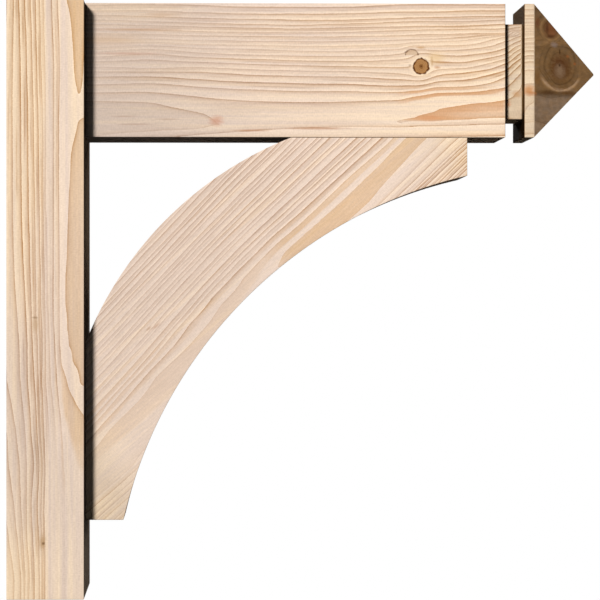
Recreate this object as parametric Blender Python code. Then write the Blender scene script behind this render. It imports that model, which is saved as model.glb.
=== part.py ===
"""A timber outlooker: the bracket that carries the edge of a roof where it runs out past a wall.

A post stands flat against the wall. A beam stands out from it, level with its top, and ends in a
cut-in neck, a thin collar and a four-sided point. A curved brace holds the beam up from the post.
Metres, +Z up. The origin is the centre of the post's wall face, and +X points away from the wall.
"""

import math

import bmesh
import bpy

# Overall size
HEIGHT = 0.6096
PROJECTION = 0.6096

# Post
POST_DEPTH = 0.0787
POST_WIDTH = 0.1397

# Beam
BEAM_HEIGHT = 0.1377
BEAM_WIDTH = 0.0889
NECK_LENGTH = 0.0197
NECK_CUT_DOWN = 0.0197
NECK_CUT_IN = 0.0127
COLLAR_LENGTH = 0.0098
POINT_LENGTH = 0.0688
TIP_FLAT = 0.0016

# Brace, measured from the corner between the post's front and the beam's underside
BRACE_REACH = 0.3930
BRACE_END = 0.0392
BRACE_BACK_START = 0.2115
BRACE_BACK_BOW = 0.0312
BRACE_BELLY_BOW = 0.0720
ARC_STEPS = 48

# Fits and finish
JOINT_GAP = 0.0003
ARRIS = 0.0010

# Places worked out from the sizes
TOP = HEIGHT / 2
BEAM_START = POST_DEPTH + JOINT_GAP
COLLAR_END = PROJECTION - POINT_LENGTH
NECK_END = COLLAR_END - COLLAR_LENGTH
NECK_START = NECK_END - NECK_LENGTH
BEAM_MIDDLE = TOP - BEAM_HEIGHT / 2
BEAM_UNDERSIDE = TOP - BEAM_HEIGHT

SHARP_ANGLE = math.radians(30)


def clear_scene():
    for obj in list(bpy.data.objects):
        bpy.data.objects.remove(obj)


def wood(name, colour, roughness):
    """A plain finish for one timber."""
    material = bpy.data.materials.new(name)
    material.use_nodes = True
    shader = material.node_tree.nodes["Principled BSDF"]
    shader.inputs["Base Color"].default_value = (*colour, 1)
    shader.inputs["Roughness"].default_value = roughness
    shader.inputs["Metallic"].default_value = 0
    return material


def mark_arrises(shape, crisp_from):
    """Gives a bevel weight to each sharp outer edge that starts nearer the wall than crisp_from."""
    weight = shape.edges.layers.float.new("bevel_weight_edge")
    for edge in shape.edges:
        near_end = min(vert.co.x for vert in edge.verts)
        if near_end < crisp_from and edge.calc_face_angle_signed() > SHARP_ANGLE:
            edge[weight] = 1


def add_timber(name, shape, material, crisp_from=math.inf):
    """Turns the bmesh into a named object with its faces pointing out and its arrises eased."""
    bmesh.ops.recalc_face_normals(shape, faces=shape.faces)
    mark_arrises(shape, crisp_from)
    mesh = bpy.data.meshes.new(name)
    shape.to_mesh(mesh)
    shape.free()
    mesh.materials.append(material)
    obj = bpy.data.objects.new(name, mesh)
    bpy.context.scene.collection.objects.link(obj)
    bevel = obj.modifiers.new("Eased arrises", "BEVEL")
    bevel.limit_method = "WEIGHT"
    bevel.width = ARRIS
    bevel.segments = 1
    bevel.use_clamp_overlap = True


def add_section(shape, x, half_width, half_height, middle):
    """Four corners of an upright rectangle across the beam."""
    corners = ((-1, -1), (1, -1), (1, 1), (-1, 1))
    return [
        shape.verts.new((x, half_width * side, middle + half_height * end))
        for side, end in corners
    ]


def join_sections(shape, sections):
    """Walls between each section and the next, and a cap on either end."""
    for near, far in zip(sections, sections[1:]):
        for i in range(4):
            j = (i + 1) % 4
            shape.faces.new((near[i], near[j], far[j], far[i]))
    shape.faces.new(reversed(sections[0]))
    shape.faces.new(sections[-1])


def make_post(material):
    shape = bmesh.new()
    sections = [
        add_section(shape, x, POST_WIDTH / 2, HEIGHT / 2, 0) for x in (0, POST_DEPTH)
    ]
    join_sections(shape, sections)
    add_timber("post", shape, material)


def make_beam(material):
    """One timber from the post to the tip, cut in at the neck and sloped to the point on four sides."""
    width, height = BEAM_WIDTH / 2, BEAM_HEIGHT / 2
    neck_width, neck_height = width - NECK_CUT_IN, height - NECK_CUT_DOWN
    tip_height = TIP_FLAT / 2
    tip_width = tip_height * BEAM_WIDTH / BEAM_HEIGHT
    profile = (
        (BEAM_START, width, height),
        (NECK_START, width, height),
        (NECK_START, neck_width, neck_height),
        (NECK_END, neck_width, neck_height),
        (NECK_END, width, height),
        (COLLAR_END, width, height),
        (PROJECTION, tip_width, tip_height),
    )
    shape = bmesh.new()
    sections = [
        add_section(shape, x, half_width, half_height, BEAM_MIDDLE)
        for x, half_width, half_height in profile
    ]
    join_sections(shape, sections)
    # The point's own edges stay crisp, so that its four slopes meet in clean lines.
    add_timber("beam", shape, material, crisp_from=COLLAR_END - ARRIS)


def bowed_arc(start, end, bow):
    """Points from start to end on the arc that bows towards the corner by that much.

    Both ends lie as far from the corner's diagonal, one on each side of it.
    """
    chord = math.dist(start, end)
    radius = (chord * chord / 4 + bow * bow) / (2 * bow)
    middle = ((start[0] + end[0]) / 2, (start[1] + end[1]) / 2)
    away = (radius - bow) / math.sqrt(2)
    centre = (middle[0] + away, middle[1] + away)
    first = math.atan2(start[1] - centre[1], start[0] - centre[0]) % math.tau
    last = math.atan2(end[1] - centre[1], end[0] - centre[0]) % math.tau
    steps = [first + (last - first) * i / ARC_STEPS for i in range(ARC_STEPS + 1)]
    return [
        (centre[0] + radius * math.cos(a), centre[1] + radius * math.sin(a))
        for a in steps
    ]


def brace_outline():
    """The brace's side view, as distances out from the post and down from the beam."""
    back = bowed_arc((0, BRACE_BACK_START), (BRACE_BACK_START, 0), BRACE_BACK_BOW)
    belly = bowed_arc(
        (BRACE_REACH, BRACE_END), (BRACE_END, BRACE_REACH), BRACE_BELLY_BOW
    )
    return [*back, (BRACE_REACH, 0), *belly, (0, BRACE_REACH)]


def make_brace(material):
    """A curved board that seats on the post's front and on the beam's underside."""
    corner_x = POST_DEPTH + JOINT_GAP
    corner_z = BEAM_UNDERSIDE - JOINT_GAP
    shape = bmesh.new()
    side = shape.faces.new(
        shape.verts.new((corner_x + out, -BEAM_WIDTH / 2, corner_z - down))
        for out, down in brace_outline()
    )
    grown = bmesh.ops.extrude_face_region(shape, geom=[side], use_keep_orig=True)
    moved = [part for part in grown["geom"] if isinstance(part, bmesh.types.BMVert)]
    bmesh.ops.translate(shape, verts=moved, vec=(0, BEAM_WIDTH, 0))
    add_timber("brace", shape, material)


def main():
    clear_scene()
    make_post(wood("post_fir", (0.66, 0.47, 0.33), 0.55))
    make_beam(wood("beam_fir", (0.68, 0.49, 0.33), 0.55))
    make_brace(wood("brace_fir", (0.66, 0.44, 0.29), 0.55))


main()
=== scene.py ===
"""The looks of a timber outlooker in planed Douglas fir, on a pale floor in soft studio light.

The post, the beam and the brace each get a finely divided mesh in place of the plain solid. Every
point of a mesh knows which growth ring it lies in, so the grain runs through the timber and comes
out on each face as it would when the timber is cut. Metres, +Z up, +X away from the wall.
"""

import math
from functools import partial

import bpy
import numpy as np
from bpy.props import FloatProperty, FloatVectorProperty, PointerProperty
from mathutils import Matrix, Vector


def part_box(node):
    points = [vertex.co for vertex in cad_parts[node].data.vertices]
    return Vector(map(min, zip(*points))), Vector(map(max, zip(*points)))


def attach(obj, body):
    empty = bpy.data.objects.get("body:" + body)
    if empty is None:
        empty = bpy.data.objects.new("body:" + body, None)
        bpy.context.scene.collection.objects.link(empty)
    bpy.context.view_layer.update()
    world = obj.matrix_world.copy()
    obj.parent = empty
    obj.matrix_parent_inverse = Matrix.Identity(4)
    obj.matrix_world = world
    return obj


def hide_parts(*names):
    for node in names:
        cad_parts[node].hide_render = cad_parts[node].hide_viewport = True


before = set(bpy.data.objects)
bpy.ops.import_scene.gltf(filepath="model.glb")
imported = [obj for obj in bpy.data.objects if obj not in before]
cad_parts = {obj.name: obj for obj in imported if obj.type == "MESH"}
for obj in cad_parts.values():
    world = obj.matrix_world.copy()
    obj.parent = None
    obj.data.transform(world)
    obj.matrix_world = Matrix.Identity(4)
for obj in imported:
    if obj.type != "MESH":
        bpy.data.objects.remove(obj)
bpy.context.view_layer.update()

bl_info = {
    "name": "Timber outlooker",
    "version": (1, 0, 0),
    "blender": (4, 5, 0),
    "location": "3D View > Sidebar > Outlooker",
    "description": "Builds a timber outlooker in planed fir around its packed solids",
    "category": "Add Mesh",
}

MM = 0.001

# What the mesh tells the material about each point, besides its place in the board.
# The shade is the wood's own lightness, and on the beam's neck, collar and point also painted shade.
GRAIN_VALUES = ("ring", "ring_width", "latewood", "stain", "tone", "shade")

# How dark a ring grows towards its end, and how dark the line is that ends it.
RING_RAMP = 0.34
RING_RAMP_POWER = 2.2
RING_LINE = 0.66
# Where within a ring its faint second line runs, and how much thinner it is than the first.
PAUSE_PLACE = 0.46
PAUSE_SHARPNESS = 2.2

# How many sections of points the beam has on its run, on each wall of the neck's cut, in the
# neck, on the collar and on the point, and how round the point's edges are beside the others.
RUN_SECTIONS = 174
WALL_SECTIONS = 11
NECK_SECTIONS = 10
COLLAR_SECTIONS = 6
POINT_SECTIONS = 57
POINT_ARRIS = 0.3

# The photograph's camera: its place, its turn in degrees, and how far its picture is shifted.
CAMERA_PLACE = (0.18851, -2.48708, -0.00246)
CAMERA_TURN = (90, 0, -1)
CAMERA_SHIFT = (0.11096, 0.00344)

# The solids' own places, read from the frame.
POST_LOW, POST_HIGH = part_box("post")
BEAM_LOW, BEAM_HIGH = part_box("beam")
BRACE_LOW, BRACE_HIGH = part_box("brace")

# The growth rings. Each station is a line across the timber's face, and its marks are the places
# where a ring ends there, with the ring's number, which grows from the pith to the bark. A mark with
# part of a ring is the heart of a flat-sawn band. Places were read off the photograph, in its
# pixels, and PostGrain, BeamGrain and BraceGrain give the size of a pixel on each face.

POST_STATIONS = (
    (0, (-1, 7, 14, 19, 25, 30.5, 35.5, 40, 43.5, 52),
     ((57.5, 0), (62, 0.32), (65.8, 0), (92, -0.4))),
    (60, (-2, 5, 12.8, 20.5, 26.9, 32.3, 36.9, 41, 44.6, 54),
     ((59, 0), (66, 0.32), (73.6, 0), (78.6, -0.4), (83.6, 0), (95, 0.4))),
    (91, (-2, 5, 12.4, 20.8, 27.5, 33, 37.7, 42.2, 45.2, 54.3),
     ((58.7, 0), (69, 0.32), (77.4, 0), (78.8, -0.12), (80.2, 0), (90, 0.3))),
    (108, (-2, 5, 12.3, 21, 27.8, 33.3, 38.2, 42.7, 45.3, 54.4),
     ((58.4, 0), (72, 0.32), (91, 0.2), (110, 0.1))),
    (122, (-2, 5, 12.4, 21.1, 28, 33.6, 38.5, 43, 45.4, 54.3),
     ((58.4, 0), (68, 0.32), (78, 0), (100, -0.35))),
    (151, (-2, 5, 12.6, 21.3, 28.4, 34.2, 38.9, 43.3, 45.6, 54.2),
     ((58.5, 0), (65, 0.32), (71, 0), (96, -0.4))),
    (200, (-2, 5, 12.8, 21.5, 28.6, 34.8, 39.2, 43.6, 45.9, 54),
     ((58.6, 0), (64, 0.32), (67.8, 0), (94, -0.4))),
    (250, (-5, 3.4, 13.6, 23.2, 29.6, 35.6, 40.2, 44.1, 46.9, 53.9),
     ((59, 0), (63, 0.32), (66, 0), (92, -0.4))),
    (300, (-10, 0, 16.1, 25.7, 31.1, 36.1, 41.1, 44.8, 48, 53.2),
     ((59.4, 0), (62, 0.32), (64.6, 0), (91, -0.4))),
    (345, (-9, 4.6, 19.3, 27.4, 32.6, 37.3, 42.6, 45.6, 49.6, 55),
     ((59.7, 0), (64, 0.32), (68.2, 0), (93, -0.35))),
    (364, (-7, 6, 19.9, 27.8, 33.8, 38, 42.4, 45.8, 49.8, 56),
     ((61, 0), (66.5, 0.32), (73, 0), (96, -0.3))),
    (383, (-5, 7.4, 20.7, 28.2, 34.9, 38.6, 42.1, 46.1, 50.4, 57),
     ((61.5, -0.45), (67, 0), (73, 0.3), (79.8, 0), (98, -0.3))),
    (400, (-1, 10.5, 22.1, 29.4, 35.8, 39.4, 42.9, 47, 52.4, 58.8),
     ((62, -0.45), (74, 0), (84, 0.3), (100, 0.4))),
    (415, (3, 13.2, 23.6, 30.4, 36.6, 40.1, 43.5, 48, 54.4, 60.2),
     ((64.5, -0.45), (83, 0), (92, 0.2))),
    (436, (-6, 7, 16.6, 25.3, 31.6, 37.6, 41, 44.2, 49, 56, 61.8),
     ((70, -0.47), (84, -0.12), (92, 0))),
    (464, (-4, 8.4, 19.7, 26.7, 33.7, 39.5, 42.5, 45, 50, 57, 63),
     ((77.5, -0.5), (84, -0.33), (92, -0.2))),
    (480, (-1, 10.6, 20.2, 26.6, 33, 39, 42.2, 44.7, 50, 58, 64),
     ((84, -0.58), (96, -0.5))),
    (506, (4, 14, 21, 26.5, 31.6, 38, 41.5, 44, 50, 58, 64),
     ((84, -0.62), (96, -0.55))),
    (541, (1, 9, 18, 23, 27, 33, 39, 42, 44.5, 50, 58, 64),
     ((84, -0.65), (96, -0.6))),
    (577, (5.5, 14, 21, 25.3, 29.5, 34.4, 40, 43, 45, 50, 58, 64),
     ((84, -0.65), (96, -0.6))),
    (600, (6, 14, 21, 25, 28.8, 34.4, 40, 43, 45, 50, 58, 64),
     ((84, -0.65), (96, -0.6))),
)
POST_LAST_LINE = -1

BEAM_STATIONS = (
    (96, (-1, 5.5, 11, 15.5, 20, 24.5, 29, 34, 38.5, 43, 47.5, 52, 57, 62, 67.4, 72, 77, 85, 93),
     ((101, 0), (110, -0.3), (119.5, -0.4), (129, -0.3), (137.5, 0), (146, 1))),
    (150, (-2, 4.6, 11, 16.8, 21.8, 25.6, 29.8, 34.2, 39.2, 42.6, 46, 49.6, 54.4, 60, 68.8, 72, 77,
      83.6, 92.5),
     ((103, 0), (110, -0.28), (117, -0.38), (124, -0.28), (132, 0), (140, 1), (148, 2))),
    (200, (-1, 5.4, 12.8, 18.3, 23.3, 27.2, 31.7, 35.6, 40.6, 44.4, 48.3, 52.8, 57.6, 62.4, 67.6, 72,
      79.7, 87, 97.2),
     ((113, 0), (120.5, -0.3), (129.5, 0), (135, 1), (144, 2))),
    (224, (-1, 6.4, 13.6, 18.8, 23.8, 27.4, 31.8, 35.7, 40.9, 44.8, 48.7, 54, 58.4, 63.3, 68.6, 73.4,
      81.2, 88.4, 99.4),
     ((125, 0.06), (133.2, 1), (142, 2))),
    (250, (0, 6.9, 14, 19.3, 24.3, 27.8, 32.1, 36, 41.1, 45.2, 49.3, 54.8, 59.2, 64.1, 69.6, 74.8,
      82.3, 89.6, 101),
     ((118, 0.3), (131.6, 1), (141, 2))),
    (300, (0, 6.9, 13.9, 20, 25.1, 28.7, 32.6, 36.7, 41.3, 46.1, 51, 55.8, 60.6, 65.6, 70.6, 76.1,
      83.6, 91.3, 102),
     ((116, 0.4), (129, 1), (140, 2))),
    (350, (0, 6.9, 13.3, 19.6, 23.6, 27.3, 31.9, 36.1, 41.1, 45.6, 51, 56.1, 61.1, 66.3, 71.3, 76.7,
      84.1, 91.3, 101.3),
     ((116, 0.3), (127.4, 1), (139.5, 2))),
    (398, (-3, 4.4, 11.7, 18, 21.4, 26.7, 30.2, 35.3, 39.8, 43.9, 48.9, 54.2, 59.4, 67, 73.3, 78.9,
      85.6, 92, 100),
     ((104.5, 0.42), (118.4, 0.1), (120.6, 0), (121.8, -0.03), (123, 0), (126.9, 1), (138.5, 2))),
    (413, (-3, 4.1, 11.7, 17.6, 21.2, 26.2, 29.6, 34.7, 39.6, 43.2, 47.6, 53, 57.4, 65, 72.6, 77.2,
      84.2, 90.2, 96.6),
     ((101, 0.42), (114, 0.15), (118, 0), (119.8, -0.15), (121.8, 0), (126.6, 1), (138, 2))),
    (432, (-4, 3.9, 11.6, 17.1, 21.1, 25.8, 29.1, 34.1, 38.8, 41.4, 46, 51.2, 55.6, 62.4, 69.6, 75,
      81.4, 87, 93.5),
     ((97.6, 0.42), (109, 0.2), (112.4, 0), (117, -0.32), (121.5, 0), (126, 1), (137.5, 2))),
    (441, (-4, 3.9, 11.3, 16.9, 21, 25.6, 28.9, 34, 38.3, 41, 45.6, 50.7, 55.4, 62, 69, 74.2, 80.8,
      86.8, 92.8),
     ((96.6, 0.42), (103.5, 0.3), (108.4, 0), (115, -0.36), (121, 0), (125.8, 1), (137.3, 2))),
    (470, (-4, 3.9, 10.2, 16.1, 20.9, 25, 28.3, 33.3, 36.2, 38.9, 44.2, 48.9, 54.4, 61.1, 67.2, 71.7,
      78.9, 86.1, 92.1),
     ((95.4, 0.42), (100, 0.3), (104, 0), (111, -0.38), (119.4, 0), (125, 1), (136.5, 2))),
    (505, (-4, 3.9, 10, 15.5, 19.2, 23.7, 27.4, 32.9, 33.9, 34.8, 35.9, 40.6, 47.6, 53.4, 58.6, 63, 70,
      76.6, 87.4),
     ((91, 0.42), (95, 0.3), (99.6, 0), (109, -0.4), (118, 0), (124, 1), (136, 2))),
    (523, (-5, 3, 9, 14.5, 18, 22, 25, 28, 29, 30, 31, 34, 38.5, 43, 47, 51, 56.5, 62.5, 71),
     ((79, 0.5), (85, 0), (99, -0.3), (119, 0), (122.6, 1), (135, 2))),
    (534, (-5.5, 2.6, 8.6, 14, 17.5, 21.5, 24.5, 27.5, 28.5, 29.5, 30.5, 33.2, 37.5, 42, 46, 50, 55,
      61, 69.5),
     ((77, 0.5), (83, 0), (93, -0.2), (103, 0), (122.2, 1), (134.5, 2))),
    (590, (-6, 2, 8, 13.4, 17, 21.3, 25, 29.4, 30.4, 31.2, 32, 35, 39.6, 44, 48, 52, 58, 64, 74),
     ((80, 0.5), (84, 0), (92, -0.2), (100, 0), (122, 1), (134, 2))),
)
BEAM_TOP_RING = 19
BEAM_HEARTS = (
    (96, 119.5), (150, 117), (200, 120.5), (224, 122), (250, 118), (350, 116), (413, 119), (441, 115),
    (470, 111), (505, 109),
)

# The point's front slope runs through two knots. Each has its centre, how far its rings are drawn out
# upwards, and the ring reached at each distance. Away from them the rings lie level.
POINT_KNOTS = (
    ((563.2, 65.0), 1.45, ((0, 0.3), (5.5, 1), (11, 2), (17.5, 3), (22.5, 4), (27, 9))),
    ((553.1, 26.6), 1.0, ((0, 3.3), (8.4, 4), (13.5, 5), (20, 9))),
)
POINT_LINES = (
    (-10, 9), (16, 7.5), (34, 6.3), (39.5, 6), (45.5, 5), (58, 4.25), (88, 4.25), (94.5, 5),
    (120.5, 5.95), (122, 6.05), (150, 6.8),
)

BRACE_STATIONS = (
    (-265, ((300, 20), (318.6, 16), (355, 8), (397, 1), (405, 0), (424, -0.45), (441, 0), (469, 5),
     (490, 9))),
    (-200, ((293, 20), (312, 16), (348, 8), (389, 1), (398, 0), (419, -0.5), (440, 0), (466, 5),
     (486, 9))),
    (-130, ((286, 20), (304.5, 16), (340, 8), (379.7, 1), (388.1, 0), (411, -0.5), (433, 0), (455, 5))),
    (-70, ((279, 20), (298, 16), (332, 8), (370, 1), (383.5, 0), (402, -0.55), (424, 0), (446, 5))),
    (-33, ((275, 20), (294, 16), (328, 8), (364, 1), (375.6, 0), (395, -0.6), (417, 0), (440, 5))),
    (5, ((271, 20), (289.8, 16), (324, 8), (360, 1), (369.4, 0), (388, -0.8), (411, 0), (434, 5))),
    (50, ((266, 20), (285, 16), (320.5, 8), (356.8, 1), (365, 0), (377, -1), (383, -1.15), (389, -1),
     (408, 0), (430, 5))),
    (75, ((264, 20), (283, 16), (319, 8), (356.3, 1), (365, 0), (375.6, -1), (384, -1.3), (392, -1),
     (406, 0), (428, 5))),
    (100, ((261, 20), (281.4, 16), (317, 8), (355.8, 1), (364, 0), (375.6, -1), (385, -1.3), (394, -1),
     (405, 0), (412, 1), (417.5, 2), (434, 7))),
    (150, ((257, 20), (277, 16), (314, 8), (354, 1), (361.4, 0), (373.4, -1), (384, -1.35), (393, -1),
     (402.3, 0), (409.5, 1), (415, 2), (431, 7))),
    (200, ((253, 20), (273, 16), (311, 8), (352.4, 1), (360.6, 0), (369.5, -1), (378, -1.3), (386, -1),
     (399, 0), (406.5, 1), (412.5, 2), (429, 7))),
    (250, ((249, 20), (269, 16), (308, 8), (350.6, 1), (356.6, 0), (364, -1), (372, -1.3), (381, -1),
     (395.2, 0), (403, 1), (409.5, 2), (426, 7))),
)

# Flaws of the wood: kind, place and radii in the timber's board in millimetres (along, across and in
# from the front), colour and strength.
POST_FLAWS = (
    ("stain", (330, 29.4, 0), (9, 3.6, 30), "#C3A27E", 0.55),
    ("stain", (323, 29, 0), (1.2, 3.4, 30), "#8C6B48", 0.55),
    ("stain", (551, 36.5, 0), (8, 3.6, 30), "#B08A5C", 0.6),
    ("stain", (552.5, 37.6, 0), (1.6, 1.8, 30), "#6E4F2E", 0.7),
)
BEAM_FLAWS = (
    ("stain", (360, 56, 0), (10, 7, 30), "#EAC795", 0.6),
    ("stain", (356.3, 60.4, 0), (1.7, 5.2, 30), "#B98A52", 0.6),
    ("stain", (362, 65.6, 0), (3.6, 1.8, 30), "#C98F60", 0.6),
    ("stain", (366, 60.2, 0), (11, 1.1, 30), "#B98452", 0.6),
    ("stain", (345, 45.4, 0), (5, 1.3, 30), "#C3925A", 0.6),
    ("stain", (334.2, 63.8, 0), (1.8, 1.4, 30), "#8A6444", 0.6),
    ("knot", (345.4, 64.7, 0), (7.6, 7.7, 40), "#B38352", 1),
    ("half knot", (335.6, 53, 0), (6.6, 5.8, 30), "#CFAE8C", 0.7),
    ("stain", (134.6, 121, 0), (7.5, 5.4, 30), "#CB8F72", 0.65),
    ("stain", (56, 27.3, 0), (48, 1.8, 30), "#C39A76", 0.5),
    ("stain", (44, 52, 0), (34, 1.5, 30), "#C3957C", 0.5),
    ("stain", (20, 38, 0), (40, 6, 30), "#D3B08C", 0.4),
    ("stain", (78, 12, 0), (20, 2.4, 30), "#C9A27C", 0.4),
    ("stain", (40, 116.6, 0), (13, 0.9, 30), "#AE8C76", 0.45),
    ("stain", (84, 119.4, 0), (13, 0.8, 30), "#AE8C76", 0.45),
    ("stain", (52, 124.6, 0), (20, 0.9, 30), "#AE8C76", 0.45),
    ("stain", (170, 130.8, 0), (18, 1.3, 30), "#B9805C", 0.55),
    ("stain", (239, 128.6, 0), (32, 1.3, 30), "#B57A54", 0.6),
    ("stain", (353, 117.8, 0), (14, 3.4, 30), "#D6905E", 0.5),
    ("stain", (435, 102, 12.7), (5, 4, 6), "#D3936A", 0.8),
    ("stain", (456.5, 88.5, 0), (6.5, 5.4, 5), "#CB8A50", 0.8),
    ("stain", (459, 92.5, 0), (7, 2.4, 5), "#B8713A", 0.6),
    ("stain", (446, 92, 12.7), (6, 4, 6), "#C8925C", 0.5),
    ("stain", (491.9, 66.5, 21), (15.5, 16.5, 40), "#6A451C", 0.55),
    ("stain", (491.9, 63.2, 21), (11.4, 13, 40), "#54301A", 0.8),
    ("stain", (491.4, 67.4, 21), (6.4, 8, 40), "#866A50", 0.95),
    ("stain", (491.2, 61.4, 21), (1.2, 1.7, 40), "#3F2814", 0.8),
    ("stain", (491.3, 47.4, 21), (0.9, 3, 40), "#3A2411", 0.8),
    ("stain", (480.8, 24.6, 14), (8.6, 8.2, 40), "#7A4223", 0.6),
    ("stain", (477, 24, 14), (1.8, 6, 40), "#472A1A", 0.6),
    ("stain", (484, 29, 14), (5, 2.2, 40), "#8E5A38", 0.5),
    ("stain", (481, 32.5, 14), (6, 2.2, 40), "#4E2A17", 0.6),
    ("stain", (466, 19, 5), (2.8, 6, 40), "#6F3F26", 0.6),
    ("stain", (485, 40.6, 16), (4.6, 2.6, 40), "#8F7B70", 0.7),
    ("stain", (500.5, 51.6, 26), (2, 1.8, 40), "#A85E2C", 0.5),
    ("stain", (508.5, 59, 32), (1.8, 1.6, 40), "#A85E2C", 0.5),
    ("stain", (478, 90.5, 12), (13, 2.6, 40), "#4E3117", 0.7),
    ("stain", (500, 89.5, 24), (9, 2.2, 40), "#573618", 0.6),
    ("stain", (466, 76, 5), (4, 8, 40), "#7A5228", 0.45),
)
BRACE_FLAWS = (
    ("stain", (-96, 359, 0), (6, 1.6, 30), "#B98F70", 0.5),
    ("stain", (-104, 356, 0), (3.4, 1.4, 30), "#B08868", 0.5),
)


def linear(code):
    """Turns an sRGB hex colour into the linear one that Blender works with."""
    channels = [int(code[i : i + 2], 16) / 255 for i in (1, 3, 5)]
    return tuple(c / 12.92 if c <= 0.04045 else ((c + 0.055) / 1.055) ** 2.4 for c in channels)


def colour(name, description, code):
    """A colour that a user may change."""
    return FloatVectorProperty(
        name=name, description=description, subtype="COLOR", size=3, min=0, max=1, default=linear(code)
    )


def length(name, description, metres):
    """A size that a user may change."""
    return FloatProperty(
        name=name, description=description, default=metres, min=0, unit="LENGTH", precision=4
    )


def number(name, description, value):
    """A plain number that a user may change."""
    return FloatProperty(name=name, description=description, default=value, min=0)


def rise(where, start, stop):
    """0 up to start, 1 from stop on and even between them, which may lie either way round."""
    return np.clip((where - start) / (stop - start), 0, 1)


def hump(where, middle, spread):
    """1 at the middle, and fading out over a few spreads on both sides."""
    return np.exp(-(((where - middle) / spread) ** 2))


class OUTLOOKER_PG_timber(bpy.types.PropertyGroup):
    """Sizes of the carved timbers that their solids' boxes don't give."""

    arris: length("Arris", "Radius of the eased edges", 0.0005)
    grid_along: length("Step along", "Size of a face along the grain", 0.0025)
    grid_across: length("Step across", "Size of a face across the grain", 0.0018)
    neck_length: length("Neck", "Length of the cut-in neck", 0.0197)
    neck_cut_down: length("Neck cut, top", "Depth of the neck's cut at top and bottom", 0.0197)
    neck_cut_in: length("Neck cut, side", "Depth of the neck's cut at the sides", 0.0127)
    collar_length: length("Collar", "Length of the collar beyond the neck", 0.0098)
    point_length: length("Point", "Length of the four-sided point", 0.0688)
    tip_flat: length("Tip flat", "Height of the small flat at the tip", 0.0016)
    brace_end: length("Brace end", "Width of the brace's square-cut ends", 0.0392)
    back_start: length("Back start", "Distance from the corner at which the brace's back leaves", 0.2115)
    back_bow: length("Back bow", "Rise of the brace's back arc", 0.0312)
    belly_bow: length("Belly bow", "Rise of the brace's belly arc", 0.0720)


class OUTLOOKER_PG_finish(bpy.types.PropertyGroup):
    """Colours of the planed fir."""

    early_grey: colour("Earlywood, pinkish", "Pale wood of the pinkish stretches", "#E4CEBD")
    early_cream: colour("Earlywood, cream", "Pale wood of the yellow stretches", "#FCE2C1")
    late_grey: colour("Latewood, pinkish", "Ring lines of the pinkish stretches", "#B8977F")
    late_cream: colour("Latewood, orange", "Ring lines of the yellow stretches", "#BC8B5C")
    late_patch: colour(
        "Latewood, broad", "Broad patches where the saw ran within a ring's latewood", "#D49C6C"
    )
    late_gold: colour("Latewood, broad, yellow", "The broad patch along the brace's belly", "#D2A56B")
    end_pale: colour("End grain, pale", "End grain between the ring lines", "#946A3A")
    end_grey: colour(
        "End grain, greyish", "End grain between the ring lines at the point's foot", "#987B5F"
    )
    end_dark: colour("End grain, dark", "Ring lines in the end grain", "#4E3117")
    knot_dark: colour("Knot, dark", "Dark rings within a knot", "#8A5A2C")
    knot_rim: colour("Knot rim", "Dark bark line round a knot", "#5E3314")


class OUTLOOKER_PG_stage(bpy.types.PropertyGroup):
    """The floor, the lights and the camera."""

    floor_size: length("Floor size", "Side of the square floor", 9.0)
    floor_drop: length("Floor drop", "Distance from the origin down to the floor", 1.25)
    floor_tone: colour("Floor", "Colour of the floor", "#F3F2EF")
    key_strength: number("Key light", "Strength of the light from the front left", 3.74)
    back_strength: number("Back light", "Strength of the light from behind", 2.2)
    side_strength: number("Side light", "Strength of the weak light from the right", 0.18)
    fill_strength: number("Fill light", "Strength of the light from the right on beam and brace", 1.3)
    room_strength: number("Room light", "Strength of the light from all round", 0.010)
    camera_lens: FloatProperty(name="Lens", description="Focal length in millimetres", default=142.6)


def feed(node, inputs):
    """Sets a node's inputs, by name or in order, from other nodes, their outputs or constants."""
    if isinstance(inputs, dict):
        pairs = [(node.inputs[name], value) for name, value in inputs.items()]
    else:
        pairs = zip([socket for socket in node.inputs if socket.enabled], inputs)
    for socket, value in pairs:
        if isinstance(value, bpy.types.Node):
            value = next(output for output in value.outputs if output.enabled)
        if isinstance(value, bpy.types.NodeSocket):
            node.id_data.links.new(value, socket)
        else:
            socket.default_value = (*value, 1) if socket.type == "RGBA" else value


def add_node(tree, kind, inputs=(), **settings):
    """Adds a shader node with its settings and feeds its inputs."""
    node = tree.nodes.new("ShaderNode" + kind)
    for name, value in settings.items():
        setattr(node, name, value)
    feed(node, inputs)
    return node


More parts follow.
